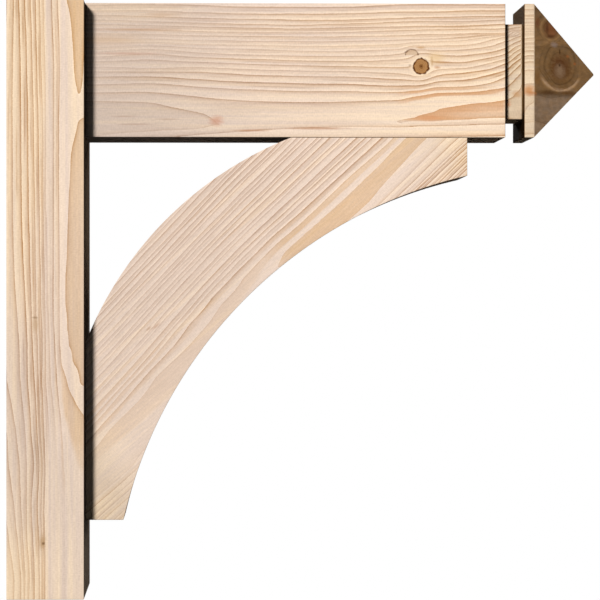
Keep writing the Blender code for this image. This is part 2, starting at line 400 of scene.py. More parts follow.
def make_fir(name, grain, flaws):
    """Planed Douglas fir: growth rings that darken slowly and stop sharp, fine fibres, matt end grain.

    The mesh gives each point its ring, the ring's width, how strong its line is and its tone.
    """
    finish = bpy.context.scene.outlooker_finish
    material = bpy.data.materials.new(name)
    material.use_nodes = True
    tree = material.node_tree
    add = partial(add_node, tree)
    ring, width, strength, stain, tone, shade = (
        add("Attribute", attribute_name=value).outputs["Fac"] for value in GRAIN_VALUES
    )
    board = add("Attribute", attribute_name="board").outputs["Vector"]

    def grain_noise(along, across, low, high, detail=2.0):
        """Noise from low to high, in blotches that long along the grain and that wide, in millimetres."""
        scale = (1 / along, 1 / across, 1 / across)
        place = add("VectorMath", (board, scale), operation="MULTIPLY")
        fed = {"Vector": place, "Scale": 1.0, "Detail": detail, "Roughness": 0.55}
        noise = add("TexNoise", fed, noise_dimensions="3D")
        return add("Math", (noise, high - low, low), operation="MULTIPLY_ADD")

    # A growth ring wanders by a few tenths of a millimetre, slowly and again from fibre to fibre.
    wander = (grain_noise(45, 7, -0.75, 0.75), grain_noise(3.2, 2.2, -0.35, 0.35))
    wander = add("Math", wander, operation="ADD")
    wander = add("Math", (wander, width), operation="DIVIDE")
    ring = add("Math", (ring, wander), operation="ADD")
    part = add("Math", (ring,), operation="FRACT")
    # Real latewood is a line of about a millimetre, and it is drawn a little wider to show.
    before_end = add("Math", (1.0, part), operation="SUBTRACT")
    before_end = add("Math", (before_end, width), operation="MULTIPLY")
    line = add("Math", (before_end, -1 / grain.line_width), operation="MULTIPLY")
    line = add("Math", (line,), operation="EXPONENT")
    line = add("Math", (line, RING_LINE), operation="MULTIPLY")
    ramp = add("Math", (part, RING_RAMP_POWER), operation="POWER")
    band = add("Math", (ramp, RING_RAMP, line), operation="MULTIPLY_ADD")
    # Where growth paused for a while in summer, a faint line runs within the ring.
    pause = add("Math", (part, PAUSE_PLACE), operation="SUBTRACT")
    pause = add("Math", (pause,), operation="ABSOLUTE")
    pause = add("Math", (pause, width), operation="MULTIPLY")
    pause = add("Math", (pause, -PAUSE_SHARPNESS / grain.line_width), operation="MULTIPLY")
    pause = add("Math", (pause,), operation="EXPONENT")
    narrow_ring = add("MapRange", (width, 8.5, 11.0, 1.0, 0.0))
    pause = add("Math", (pause, narrow_ring), operation="MULTIPLY")
    often = add("MapRange", (grain_noise(80, 6, 0, 1), 0.42, 0.62, 0.0, grain.pause))
    band = add("Math", (pause, often, band), operation="MULTIPLY_ADD")
    # No two rings are equally dark, nor is one ring along its length.
    ring_number = add("Math", (ring,), operation="FLOOR")
    chance = add("TexWhiteNoise", {"W": ring_number}, noise_dimensions="1D")
    per_ring = add("Math", (chance, 0.4, 0.78), operation="MULTIPLY_ADD")
    vary = add("Math", (per_ring, grain_noise(70, 5, 0.55, 1.45)), operation="MULTIPLY")
    late = add("Math", (band, strength), operation="MULTIPLY")
    late = add("Math", (late, vary), operation="MULTIPLY")
    late = add("Clamp", (late,))
    # In a flat-sawn band the saw runs within one ring's latewood, which shows as a broad tan patch.
    in_late = add("MapRange", (part, 0.40, 0.60, 0.0, 1.0), interpolation_type="SMOOTHSTEP")
    patch = add("Math", (stain, grain_noise(50, 4, 0.6, 1.4)), operation="MULTIPLY")
    patch = add("Math", (patch, in_late), operation="MULTIPLY")

    # Yellow and pink wood lie side by side in long stripes.
    tone = add("Math", (tone, grain_noise(170, 5, -0.75, 0.75)), operation="ADD")
    tone = add("Clamp", (tone,))
    early_colour = add("Mix", (tone, finish.early_grey, finish.early_cream), data_type="RGBA")
    late_colour = add("Mix", (tone, finish.late_grey, finish.late_cream), data_type="RGBA")
    side_grain = add("Mix", (late, early_colour, late_colour), data_type="RGBA")
    side_grain = add("Mix", (patch, side_grain, getattr(finish, grain.patch)), data_type="RGBA")

    # A fibre is under 0.05 mm wide, so bundles of them are drawn 0.9 mm wide.
    fibres, threads = grain_noise(9, 0.9, 0.89, 1.11, 1.0), grain_noise(120, 1.1, 0.93, 1.07, 1.0)
    fibres = add("Math", (fibres, threads), operation="MULTIPLY")
    fibres = add("Math", (fibres, grain_noise(1.3, 2.6, 0.91, 1.09, 0.0)), operation="MULTIPLY")
    # The first wood of a ring is its palest, right beside the dark line of the year before.
    spring = add("Math", (part, width), operation="MULTIPLY")
    spring = add("Math", (spring, -0.9), operation="MULTIPLY")
    spring = add("Math", (spring,), operation="EXPONENT")
    spring = add("Math", (spring, strength), operation="MULTIPLY")
    clouds = add("Math", (spring, 0.06, grain_noise(90, 45, 0.96, 1.04)), operation="MULTIPLY_ADD")
    light = add("Math", (fibres, grain_noise(60, 3.2, 0.94, 1.06)), operation="MULTIPLY")
    light = add("Math", (light, clouds), operation="MULTIPLY")
    light = add("Math", (light, shade), operation="MULTIPLY")
    side_grain = add("HueSaturation", {"Value": light, "Color": side_grain})

    # End grain drinks up the light, so a cut across the fibres is far darker than a planed face.
    normal = add("NewGeometry").outputs["Normal"]
    cut = add("VectorMath", (normal, grain.axis), operation="DOT_PRODUCT")
    cut = add("Math", (cut,), operation="ABSOLUTE")
    cut = add("MapRange", (cut, 0.22, 0.60, 0.0, 1.0), interpolation_type="SMOOTHSTEP")
    end_light = add("Math", (shade, grain_noise(9, 4, 0.55, 1.45)), operation="MULTIPLY")
    end_pale = add("Mix", (tone, finish.end_grey, finish.end_pale), data_type="RGBA")
    end_grain = add("Mix", (late, end_pale, finish.end_dark), data_type="RGBA")
    end_grain = add("HueSaturation", {"Value": end_light, "Color": end_grain})
    wood = add("Mix", (cut, side_grain, end_grain), data_type="RGBA")

    # A flaw is a stain that fades out, a sound knot with a dark rim and pith, or half of a small knot.
    # Each of its layers is whole up to one distance and gone from the next.
    for kind, place, radii, tint, most in flaws:
        from_flaw = add("VectorMath", (board, place), operation="SUBTRACT")
        in_flaw = add("VectorMath", (from_flaw, [1 / r for r in radii]), operation="MULTIPLY")
        away = add("VectorMath", (in_flaw,), operation="LENGTH")
        if kind == "stain":
            ragged = add("Math", (away, grain_noise(9, 2, -0.45, 0.45)), operation="ADD")
            layers = [(ragged, 0.35, 1.25, linear(tint))]
        else:
            ragged = add("Math", (away, grain_noise(4, 4, -0.18, 0.18)), operation="ADD")
            rim = add("Math", (ragged, 1.0), operation="SUBTRACT")
            rim = add("Math", (rim,), operation="ABSOLUTE")
            rim = add("Math", (rim, grain_noise(3, 3, -0.2, 0.3)), operation="ADD")
            layers = [(ragged, 1.0, 1.12, linear(tint)), (rim, 0.06, 0.24, finish.knot_rim)]
        if kind == "knot":
            year = add("Math", (ragged, 4.5), operation="MULTIPLY")
            year = add("Math", (year,), operation="FRACT")
            year = add("Math", (ragged, 0.9, year), operation="MULTIPLY_ADD")
            layers.insert(1, (year, 0.15, 1.1, finish.knot_dark))
            layers.insert(0, (ragged, 1.0, 1.7, finish.early_cream))
            layers.append((ragged, 0.05, 0.30, finish.knot_rim))
        for gap, whole, gone, dye in layers:
            share = add("MapRange", (gap, whole, gone, most, 0.0))
            if kind == "half knot":
                height = add("SeparateXYZ", (in_flaw,)).outputs["Y"]
                upper = add("MapRange", (height, 0.08, -0.04, 0.0, 1.0))
                share = add("Math", (share, upper), operation="MULTIPLY")
            wood = add("Mix", (share, wood, dye), data_type="RGBA")

    relief = add("Math", (fibres, 2.0), operation="MULTIPLY")
    relief = add("Math", (late, 0.6, relief), operation="MULTIPLY_ADD")
    bump = add("Bump", {"Strength": 0.35, "Distance": 0.0002, "Height": relief})
    roughness = add("Math", (late, -0.10, 0.68), operation="MULTIPLY_ADD")
    look = {"Base Color": wood, "Roughness": roughness, "Normal": bump, "Metallic": 0.0, "IOR": 1.5}
    feed(tree.nodes["Principled BSDF"], {**look, "Specular IOR Level": 0.005})
    return material


def block_surface(counts):
    """Numbers the outer points of a block of points, and gives the faces between them, facing out."""
    outer = np.zeros(counts, bool)
    outer[[0, -1]] = True
    outer[:, [0, -1]] = True
    outer[:, :, [0, -1]] = True
    order = np.full(counts, -1)
    order[outer] = np.arange(outer.sum())
    faces = []
    for axis in range(3):
        for end in (0, -1):
            side = np.take(order, end, axis=axis)
            quads = np.stack((side[:-1, :-1], side[1:, :-1], side[1:, 1:], side[:-1, 1:]), axis=-1)
            if (end == 0) != (axis == 1):
                quads = quads[..., ::-1]
            faces.append(quads.reshape(-1, 4))
    return np.argwhere(outer), np.concatenate(faces)


def half_round(arris):
    """How far from an edge a point starts that ends up halfway round the arris."""
    return arris * (1 - math.tan(math.radians(22.5)))


def spaced(size, step, arris):
    """Distances from one end of an edge to the other, with two close steps for the arris at each end."""
    close = half_round(arris)
    count = max(1, round((size - 2 * arris) / step))
    middle = np.linspace(arris, size - arris, count + 1)
    return np.concatenate(((0, close), middle, (size - close, size)))


def eased(points, gaps, inward, radius):
    """Rounds the arrises: gaps are a point's distances from the block's sides, inward the ways in."""
    push = np.clip(radius[:, None] - gaps, 0, None)
    shift = (push[..., None] * inward).sum(axis=1)
    size = np.linalg.norm(shift, axis=1, keepdims=True)
    return points + shift - shift / np.maximum(size, 1e-9) * radius[:, None]


def station_levels(stations, along, across):
    """Ring number at each place on a face, smooth between the stations along the grain."""
    places = np.array([station[0] for station in stations], float)
    # Beyond its marks a station goes on as evenly as between the last two of them.
    beyond = 300.0
    rows = []
    for _, marks in stations:
        where, rings = np.array(marks, float).T
        first = (rings[1] - rings[0]) / (where[1] - where[0])
        last = (rings[-1] - rings[-2]) / (where[-1] - where[-2])
        where = np.concatenate(((where[0] - beyond,), where, (where[-1] + beyond,)))
        rings = np.concatenate(((rings[0] - beyond * first,), rings, (rings[-1] + beyond * last,)))
        rows.append(np.interp(across, where, rings))
    rows = np.array(rows)
    slopes = np.empty_like(rows)
    slopes[0] = (rows[1] - rows[0]) / (places[1] - places[0])
    slopes[-1] = (rows[-1] - rows[-2]) / (places[-1] - places[-2])
    slopes[1:-1] = (rows[2:] - rows[:-2]) / (places[2:] - places[:-2])[:, None]
    near = np.clip(np.searchsorted(places, along) - 1, 0, len(places) - 2)
    span = places[near + 1] - places[near]
    t = rise(along, places[near], places[near + 1])
    column = np.arange(len(along))
    start, stop = rows[near, column], rows[near + 1, column]
    lean, settle = slopes[near, column] * span, slopes[near + 1, column] * span
    return (
        (2 * t**3 - 3 * t**2 + 1) * start
        + (t**3 - 2 * t**2 + t) * lean
        + (3 * t**2 - 2 * t**3) * stop
        + (t**3 - t**2) * settle
    )


def on_face(across, depth, heart, pith):
    """Where on the face the ring through each point ends, and how far the point lies inside them all.

    The rings run round a pith that lies that deep behind the heart.
    """
    from_pith = np.hypot(across - heart, depth - pith)
    out = np.sqrt(np.maximum(from_pith**2 - pith**2, 0))
    return heart + np.sign(across - heart) * out, np.maximum(pith - from_pith, 0)


class PostGrain:
    """The post's rings: near enough upright, from a pith far to the left."""

    pixel = 1 / 0.985
    corner = (6.15, -0.1)
    pith_reach = 145.0
    axis = (0.0, 0.0, 1.0)
    line_width = 1.7
    pause = 0.62
    patch = "late_gold"

    def __init__(self):
        self.stations = []
        for along, lines, beyond in POST_STATIONS:
            first = POST_LAST_LINE + 1 - len(lines)
            marks = [(place, first + i) for i, place in enumerate(lines)]
            self.stations.append((along, (*marks, *beyond)))

    def board(self, points):
        """Place in the board in millimetres: along the grain, across the front face, in from it."""
        along = (POST_HIGH.z - points[:, 2]) / MM
        across = (points[:, 0] - POST_LOW.x) / MM
        depth = (points[:, 1] - POST_LOW.y) / MM
        return np.stack((along, across, depth), axis=1)

    def read(self, board):
        """Place on the photographed face, in its pixels, of the ring that passes through each point."""
        along, across, depth = board.T
        half = (POST_HIGH.y - POST_LOW.y) / MM / 2
        curve = (across + self.pith_reach) ** 2 + (depth - half) ** 2 - half**2
        across = np.sqrt(np.maximum(curve, 0)) - self.pith_reach
        across = across + 3.0 * np.sin(depth / 31.0)
        along = along + 0.5 * depth
        return self.corner[1] + along / self.pixel, self.corner[0] + across / self.pixel

    def levels(self, board):
        return station_levels(self.stations, *self.read(board))

    def strengths(self, board, rings):
        along, across = self.read(board)
        line = np.interp(
            rings,
            (-13, -10, -9, -8, -7, -6, -5, -4, -3, -2, -1.4, -1, -0.9, -0.1, 0, 0.1, 1),
            (0.9, 0.9, 1.05, 0.95, 1.15, 1.2, 0.95, 1.15, 0.9, 0.7, 0.45, 1.7, 0.8, 1.0, 1.5, 0.5, 0.5),
        )
        plain = rise(along, 400, 450) * rise(across, 44.5, 47.5)
        return line * (1 - 0.8 * plain) * np.interp(
            along, (0, 80, 300, 380, 440, 530, 560), (0.96, 0.9, 0.9, 1.0, 0.85, 0.76, 0.66)
        )

    def stains(self, board):
        along, across = self.read(board)
        stain = np.interp(
            along,
            (0, 60, 110, 180, 300, 380, 440, 475),
            (0.52, 0.5, 0.34, 0.27, 0.28, 0.33, 0.42, 0.16),
        )
        return stain * rise(across, 60, 63) * rise(along, 500, 475)

    def tones(self, board):
        along, across = self.read(board)
        tone = np.interp(
            along,
            (0, 60, 150, 300, 350, 450, 520, 560, 600),
            (1.0, 1.0, 0.9, 0.6, 0.35, 0.3, 0.45, 0.85, 1.0),
        )
        band = np.interp(
            across, (43, 46, 50, 55, 58, 62, 67, 72), (0, 0.7, 0.85, 0.35, 0.3, 0.9, 0.8, 0.45)
        )
        return tone * (1 - band) + 0.6 * self.seam(across) * rise(along, 420, 460)

    def seam(self, across):
        """The pale line up the middle of the post's lower half, 0 to 1."""
        return hump(across, 46.8, 1.4)

    def shades(self, board):
        along, across = self.read(board)
        shade = np.interp(
            along,
            (0, 100, 250, 330, 480, 545, 570, 600),
            (0.94, 0.96, 0.975, 0.945, 0.905, 0.91, 0.905, 0.90),
        )
        pale = np.interp(
            across,
            (24, 30, 42, 46, 51, 54, 56, 60, 63, 70),
            (0, 0.02, 0.02, 0.05, 0.05, 0.02, 0.05, 0.09, 0.13, 0.05),
        )
        pale = pale + 0.05 * rise(across, 68, 72) * rise(along, 120, 90)
        below = rise(along, 430, 460)
        low = 0.03 * rise(across, 45, 47) + 0.05 * self.seam(across)
        hollow = hump(across, 37, 6) * hump(along, 452, 26)
        return shade + pale * (1 - below) + low * below - 0.07 * hollow


class BeamGrain:
    """The beam's rings: flat-sawn, with the pith in its lower middle."""

    pixel = 1 / 0.9731
    corner = (84.78, 3.45)
    pith_depth = 44.0
    ring_width = 4.6
    # How much darker the point's front slope is painted, as painted shade.
    slope_painted_shade = 0.80
    axis = (1.0, 0.0, 0.0)
    line_width = 1.35
    pause = 0.42
    patch = "late_patch"

    def __init__(self):
        self.stations = []
        for along, lines, below in BEAM_STATIONS:
            marks = [(place, BEAM_TOP_RING - i) for i, place in enumerate(lines)]
            self.stations.append((along, (*marks, *below)))

    def board(self, points):
        along = (points[:, 0] - BEAM_LOW.x) / MM
        across = (BEAM_HIGH.z - points[:, 2]) / MM
        depth = (points[:, 1] - BEAM_LOW.y) / MM
        return np.stack((along, across, depth), axis=1)

    def read(self, board):
        along, across, depth = board.T
        along = self.corner[0] + along / self.pixel
        across = self.corner[1] + across / self.pixel
        depth = depth / self.pixel
        heart = np.interp(along, *zip(*BEAM_HEARTS))
        outer, inner = on_face(across, depth, heart, self.pith_depth / self.pixel)
        # Towards the tip the pith dips away behind the neck.
        inner = inner * np.interp(along, (495, 507), (1.0, 0.15))
        # The neck's face lies deep in the beam, and the stations give its rings as they show there.
        in_neck = rise(along, 506.5, 507.5) * rise(along, 524, 523)
        return along, outer + (across - outer) * in_neck, inner * (1 - in_neck)

    def levels(self, board):
        along, across, inner = self.read(board)
        for knot_along, knot_across, reach, hold in ((420.6, 66.3, 13.0, 0.85), (411, 55, 8.0, 0.5)):
            away = np.hypot(along - knot_along, across - knot_across)
            across = across - (across - knot_across) * hold * hump(away, 0, reach)
        rings = station_levels(self.stations, along, across) - inner / (self.ring_width / self.pixel)
        slope = self.on_slope(board)
        return rings + (self.slope_levels(board) - rings) * slope

    def on_slope(self, board):
        """How far a place is on the point's front slope: 1 there, and 0 from 3 mm behind it."""
        along, across, depth = board.T
        sizes = bpy.context.scene.outlooker_timber
        length = (BEAM_HIGH.x - BEAM_LOW.x) / MM
        point = sizes.point_length / MM
        half = (BEAM_HIGH.y - BEAM_LOW.y) / MM / 2
        cut = (along - (length - point)) / point * half
        return np.where(cut > 0, rise(depth, cut + 3, cut), 0.0)

    def slope_levels(self, board):
        along, across = self.picture(board)
        rings = np.interp(across, *zip(*POINT_LINES)) + 0.1 * np.sin(along / 9.0)
        distances = self.from_knots(along, across)
        for distance, ((knot_along, knot_across), _, marks) in zip(distances, POINT_KNOTS):
            turn = np.arctan2(across - knot_across, along - knot_along)
            uneven = 1 + 0.05 * np.sin(3 * turn + 0.6) + 0.04 * np.sin(5 * turn + 2.0)
            rings = np.minimum(rings, np.interp(distance * uneven, *zip(*marks)))
        return rings

    def strengths(self, board, rings):
        along, across, _ = self.read(board)
        line = np.interp(
            rings,
            (-1, -0.5, 0, 1, 2, 3, 4, 6, 8, 10, 11, 12, 14, 16, 17, 19),
            (0.7, 0.6, 1.05, 1.0, 1.15, 1.2, 1.0, 0.95, 0.75, 0.55, 0.7, 0.9, 0.95, 0.9, 1.05, 1.0),
        )
        line = line * np.interp(
            along,
            (90, 140, 250, 420, 480, 506, 523, 525),
            (0.42, 0.6, 1.0, 1.05, 1.2, 1.3, 1.3, 0.66),
        )
        line = np.where((across > 118) & (rings < 0.95), line * 0.6, line)
        line = line * (1 + 0.45 * rise(across, 60, 100) * rise(along, 230, 170))
        return line + (0.5 - line) * self.on_slope(board)

    def stains(self, board):
        along, across, _ = self.read(board)
        stain = np.interp(along, (395, 412, 440, 503, 507), (0, 0.78, 0.86, 0.76, 0))
        faded = rise(along, 445, 485) * rise(across, 108, 115)
        upper = np.interp(across, (86, 90, 95, 98), (0, 0.8, 0.8, 0.9)) * rise(across, 86, 88)
        return stain * upper * (1 - 0.55 * faded) * rise(across, 121.5, 120)

    def tones(self, board):
        along, across, _ = self.read(board)
        tone = np.interp(
            along,
            (90, 150, 250, 330, 400, 470, 505, 508),
            (0.0, 0.05, 0.25, 0.4, 0.55, 0.62, 0.66, 1.0),
        )
        tone = tone - 0.3 * self.top_edge(along, across)
        tone = tone + 0.4 * rise(across, 30, 10) * rise(along, 200, 140)
        tone = tone - 0.4 * self.on_neck(along) * rise(across, 60, 35)
        tone = np.where((board[:, 0] > 448) & (board[:, 2] > 1), 1.0, tone)
        x, y = self.picture(board)
        from_first, _ = self.from_knots(x, y)
        lower = rise(y, 95, 91) * (1 - 0.8 * self.pale_arc(from_first, y))
        return tone + (0.15 + 0.85 * lower - tone) * self.on_slope(board)

    def shades(self, board):
        along, across, _ = self.read(board)
        sizes = bpy.context.scene.outlooker_timber
        # Along the run the wood's lightness varies; from the neck to the tip it is painted darker, as
        # painted shade of the neck's recess and of the penumbra beside the beam's end.
        shade = np.interp(
            along,
            (90, 140, 200, 260, 506, 509, 522, 524, 600),
            (0.865, 0.89, 0.965, 1.035, 1.035, 0.865, 0.865, 0.86, 0.86),
        )
        shade = shade - 0.06 * rise(across, 95, 110) * rise(along, 300, 240)
        shade = shade + 0.04 * self.top_edge(along, across)
        # On the neck the painted shade is lighter at the top and deeper below, and the collar is darker
        # towards its bottom.
        neck = np.interp(across, (30, 60, 80, 110), (0.045, 0.0, -0.06, -0.08))
        shade = shade + self.on_neck(along) * neck
        shade = shade - 0.07 * rise(across, 85, 97) * rise(along, 523, 525)
        # The collar's face towards the wall, inside the neck's cut, is painted dark as painted shade, and
        # nearly black at its foot as painted shadow of the neck.
        collar = (BEAM_HIGH.x - BEAM_LOW.x - sizes.point_length - sizes.collar_length) / MM
        painted_shade_in_slot = np.isclose(board[:, 0], collar, atol=0.05) & (board[:, 2] > 1.0)
        x, y = self.picture(board)
        foot = rise(y, 108, 114)
        from_first, from_second = self.from_knots(x, y)
        dark = 0.12 * hump(from_first, 11.5, 1.2) + 0.16 * hump(from_first, 17.5, 1.3)
        dark = dark + 0.12 * hump(from_second, 6, 3.0)
        pale = 0.3 * hump(from_second, 11.5, 1.4) + 0.24 * hump(y, 41, 3.0)
        # On the point's front slope: a profile up its height, darker above, with the knots' dark and pale
        # rings, and all of it then scaled down, which is painted shade.
        lit = np.interp(
            y, (0, 40, 60, 87, 91, 94, 97, 137), (0.62, 0.73, 0.75, 0.74, 0.62, 0.60, 0.86, 0.88)
        )
        lit = (lit - dark + pale + 0.85 * self.pale_arc(from_first, y)) * self.slope_painted_shade
        return np.where(painted_shade_in_slot, 0.34 - 0.29 * foot, shade + (lit - shade) * self.on_slope(board))

    def top_edge(self, along, across):
        """The strip of other wood along the run's upper edge, 0 to 1."""
        return rise(across, 13, 9) * rise(along, 190, 220) * (along < 508)

    def on_neck(self, along):
        """1 on the neck's front, and 0 on the run and the collar beside it."""
        return rise(along, 506, 509) * rise(along, 524, 522)

    def picture(self, board):
        """A place in the board as a place on the photographed face, in its pixels."""
        return self.corner[0] + board[:, 0] / self.pixel, self.corner[1] + board[:, 1] / self.pixel

    def from_knots(self, x, y):
        """Distances from the point's two knots. The first one's rings are drawn out upwards."""
        distances = []
        for (knot_x, knot_y), drawn_out, _ in POINT_KNOTS:
            up = y - knot_y
            up = np.where(up < 0, np.maximum(up, -19) / drawn_out + np.minimum(up + 19, 0) * 1.5, up)
            distances.append(np.hypot(x - knot_x, up))
        return distances

    def pale_arc(self, from_first, y):
        """The pale ring below the first knot, 0 to 1."""
        return hump(from_first, 23.6, 1.5) * rise(y, 74, 80)


class BraceGrain:
    """The brace's rings: a board cut across at the angle of the brace."""

    pixel = 1 / 0.9731
    angle = math.radians(40.5)
    corner = (84.78, 3.45)
    pith_depth = 62.0
    ring_width = 5.0
    axis = (math.cos(angle), 0.0, math.sin(angle))
    line_width = 0.75
    pause = 0.5
    patch = "late_gold"

    def board(self, points):
        """Along the grain and across it, both turned by the grain's angle, and in from the front."""
        right = (points[:, 0] - BEAM_LOW.x) / MM + self.corner[0] * self.pixel
        down = (BEAM_HIGH.z - points[:, 2]) / MM + self.corner[1] * self.pixel
        along = right * math.cos(self.angle) - down * math.sin(self.angle)
        across = right * math.sin(self.angle) + down * math.cos(self.angle)
        depth = (points[:, 1] - BRACE_LOW.y) / MM
        return np.stack((along, across, depth), axis=1)

    def read(self, board):
        along, across, depth = board.T / self.pixel
        heart = np.interp(along, (-265, -130, 0, 100, 250), (424, 411, 388, 383, 379))
        return along, *on_face(across, depth, heart, self.pith_depth / self.pixel)

    def levels(self, board):
        along, across, inner = self.read(board)
        rings = station_levels(BRACE_STATIONS, along, across) - inner / (self.ring_width / self.pixel)
        return rings + 0.2 * np.sin(rings * 2.3) * rise(rings, 1, 3)

    def strengths(self, board, rings):
        along, across, _ = self.read(board)
        line = np.interp(
            rings,
            (-1.3, -1, -0.5, 0, 0.5, 1, 1.04, 2, 4, 8, 12, 16, 19),
            (0.6, 0.6, 0.5, 1.1, 1.5, 1.6, 0.9, 0.95, 0.95, 0.9, 0.95, 1.15, 1.0),
        )
        line = line * np.interp(along, (-265, -200, -100, 0, 100, 200), (0.9, 0.5, 0.8, 1.0, 1.3, 1.4))
        tip = np.interp(rings, (0, 1.0, 1.04, 2.0, 2.04), (0.45, 0.45, 0.8, 0.8, 1.1))
        tip = 0.7 + (tip - 0.7) * rise(along, 50, 90)
        tip = np.where((across > 392) & (rings > 0), tip, 1.0)
        return np.where(rings < 0.02, line * 0.6, line * tip)

    def stains(self, board):
        along, across, _ = self.read(board)
        stain = np.interp(
            along,
            (-240, -200, -96, -33, 30, 60, 230, 260),
            (0, 0.2, 0.12, 0.14, 0.16, 0.52, 0.46, 0.4),
        )
        lower = np.interp(along, (30, 50, 100, 150, 200, 250), (412, 391, 396, 395, 388, 382))
        upper = np.interp(across, (355, 359, 364, 368), (0, 0.5, 0.55, 1))
        return stain * upper * rise(across, lower + 1, lower - 1)

    def tones(self, board):
        along, across, _ = self.read(board)
        tone = np.interp(
            along,
            (-265, -230, -180, -100, 0, 150, 200, 235, 250),
            (0.9, 0.5, 0.1, 0.0, 0.0, 0.1, 0.2, 0.4, 0.8),
        )
        return tone - 0.1 * rise(across, 364, 370) * rise(across, 400, 394)

    def shades(self, board):
        along, _, _ = self.read(board)
        return np.interp(
            along,
            (-265, -234, -200, -60, 60, 140, 200, 225, 250),
            (0.765, 0.79, 0.96, 0.99, 1.025, 1.09, 1.05, 1.02, 0.955),
        )


def paint_grain(mesh, grain):
    """Writes each point's place in the board and its ring on the mesh, for the material to read."""
    points = np.empty(len(mesh.vertices) * 3)
    mesh.vertices.foreach_get("co", points)
    board = grain.board(points.reshape(-1, 3))
    rings = grain.levels(board)
    step = np.array((0.0, 1.0, 0.0))
    slope = np.abs(grain.levels(board + step) - grain.levels(board - step)) / 2
    values = {
        "ring": rings,
        "ring_width": np.clip(1 / np.maximum(slope, 1e-3), 2.0, 60.0),
        "latewood": grain.strengths(board, rings),
        "stain": grain.stains(board),
        "tone": np.clip(grain.tones(board), 0, 1),
        "shade": grain.shades(board),
    }
    for name, value in values.items():
        layer = mesh.attributes.new(name, "FLOAT", "POINT")
        layer.data.foreach_set("value", value.astype(np.float32))
    layer = mesh.attributes.new("board", "FLOAT_VECTOR", "POINT")
    layer.data.foreach_set("vector", board.astype(np.float32).ravel())


def add_timber(name, node, points, faces, grain, flaws):
    """Makes the piece that stands for a solid, paints its grain and gives it its wood."""
    mesh = bpy.data.meshes.new(name)
    mesh.from_pydata(points.tolist(), [], faces.tolist())
    mesh.validate()
    mesh.shade_smooth()
    paint_grain(mesh, grain)
    mesh.materials.append(make_fir(name.replace("timber", "planed_fir"), grain, flaws))
    piece = bpy.data.objects.new(name, mesh)
    # The timbers throw no light on one another, so that their shaded sides stay deep.
    piece.visible_diffuse = False
    bpy.context.scene.collection.objects.link(piece)
    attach(piece, "root")
    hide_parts(node)


def box_gaps(places, sizes):
    """Distances from a box's nearest sides along each axis, and the ways in from them."""
    from_low, from_high = places, sizes - places
    gaps = np.minimum(from_low, from_high)
    ways = np.where(from_low <= from_high, 1.0, -1.0)
    return gaps, ways


class OUTLOOKER_OT_post(bpy.types.Operator):
    """Adds the post that stands against the wall."""

    bl_idname = "outlooker.add_post"
    bl_label = "Add post"

    def execute(self, context):
        sizes = context.scene.outlooker_timber
        low, high = np.array(POST_LOW), np.array(POST_HIGH)
        steps = (sizes.grid_across, sizes.grid_across, sizes.grid_along)
        rows = [spaced(size, step, sizes.arris) for size, step in zip(high - low, steps)]
        index, faces = block_surface([len(row) for row in rows])
        places = np.stack([row[index[:, i]] for i, row in enumerate(rows)], axis=1)
        gaps, ways = box_gaps(places, high - low)
        inward = np.eye(3) * ways[:, :, None]
        points = eased(places + low, gaps, inward, np.full(len(places), sizes.arris))
        add_timber("post_timber", "post", points, faces, PostGrain(), POST_FLAWS)
        return {"FINISHED"}


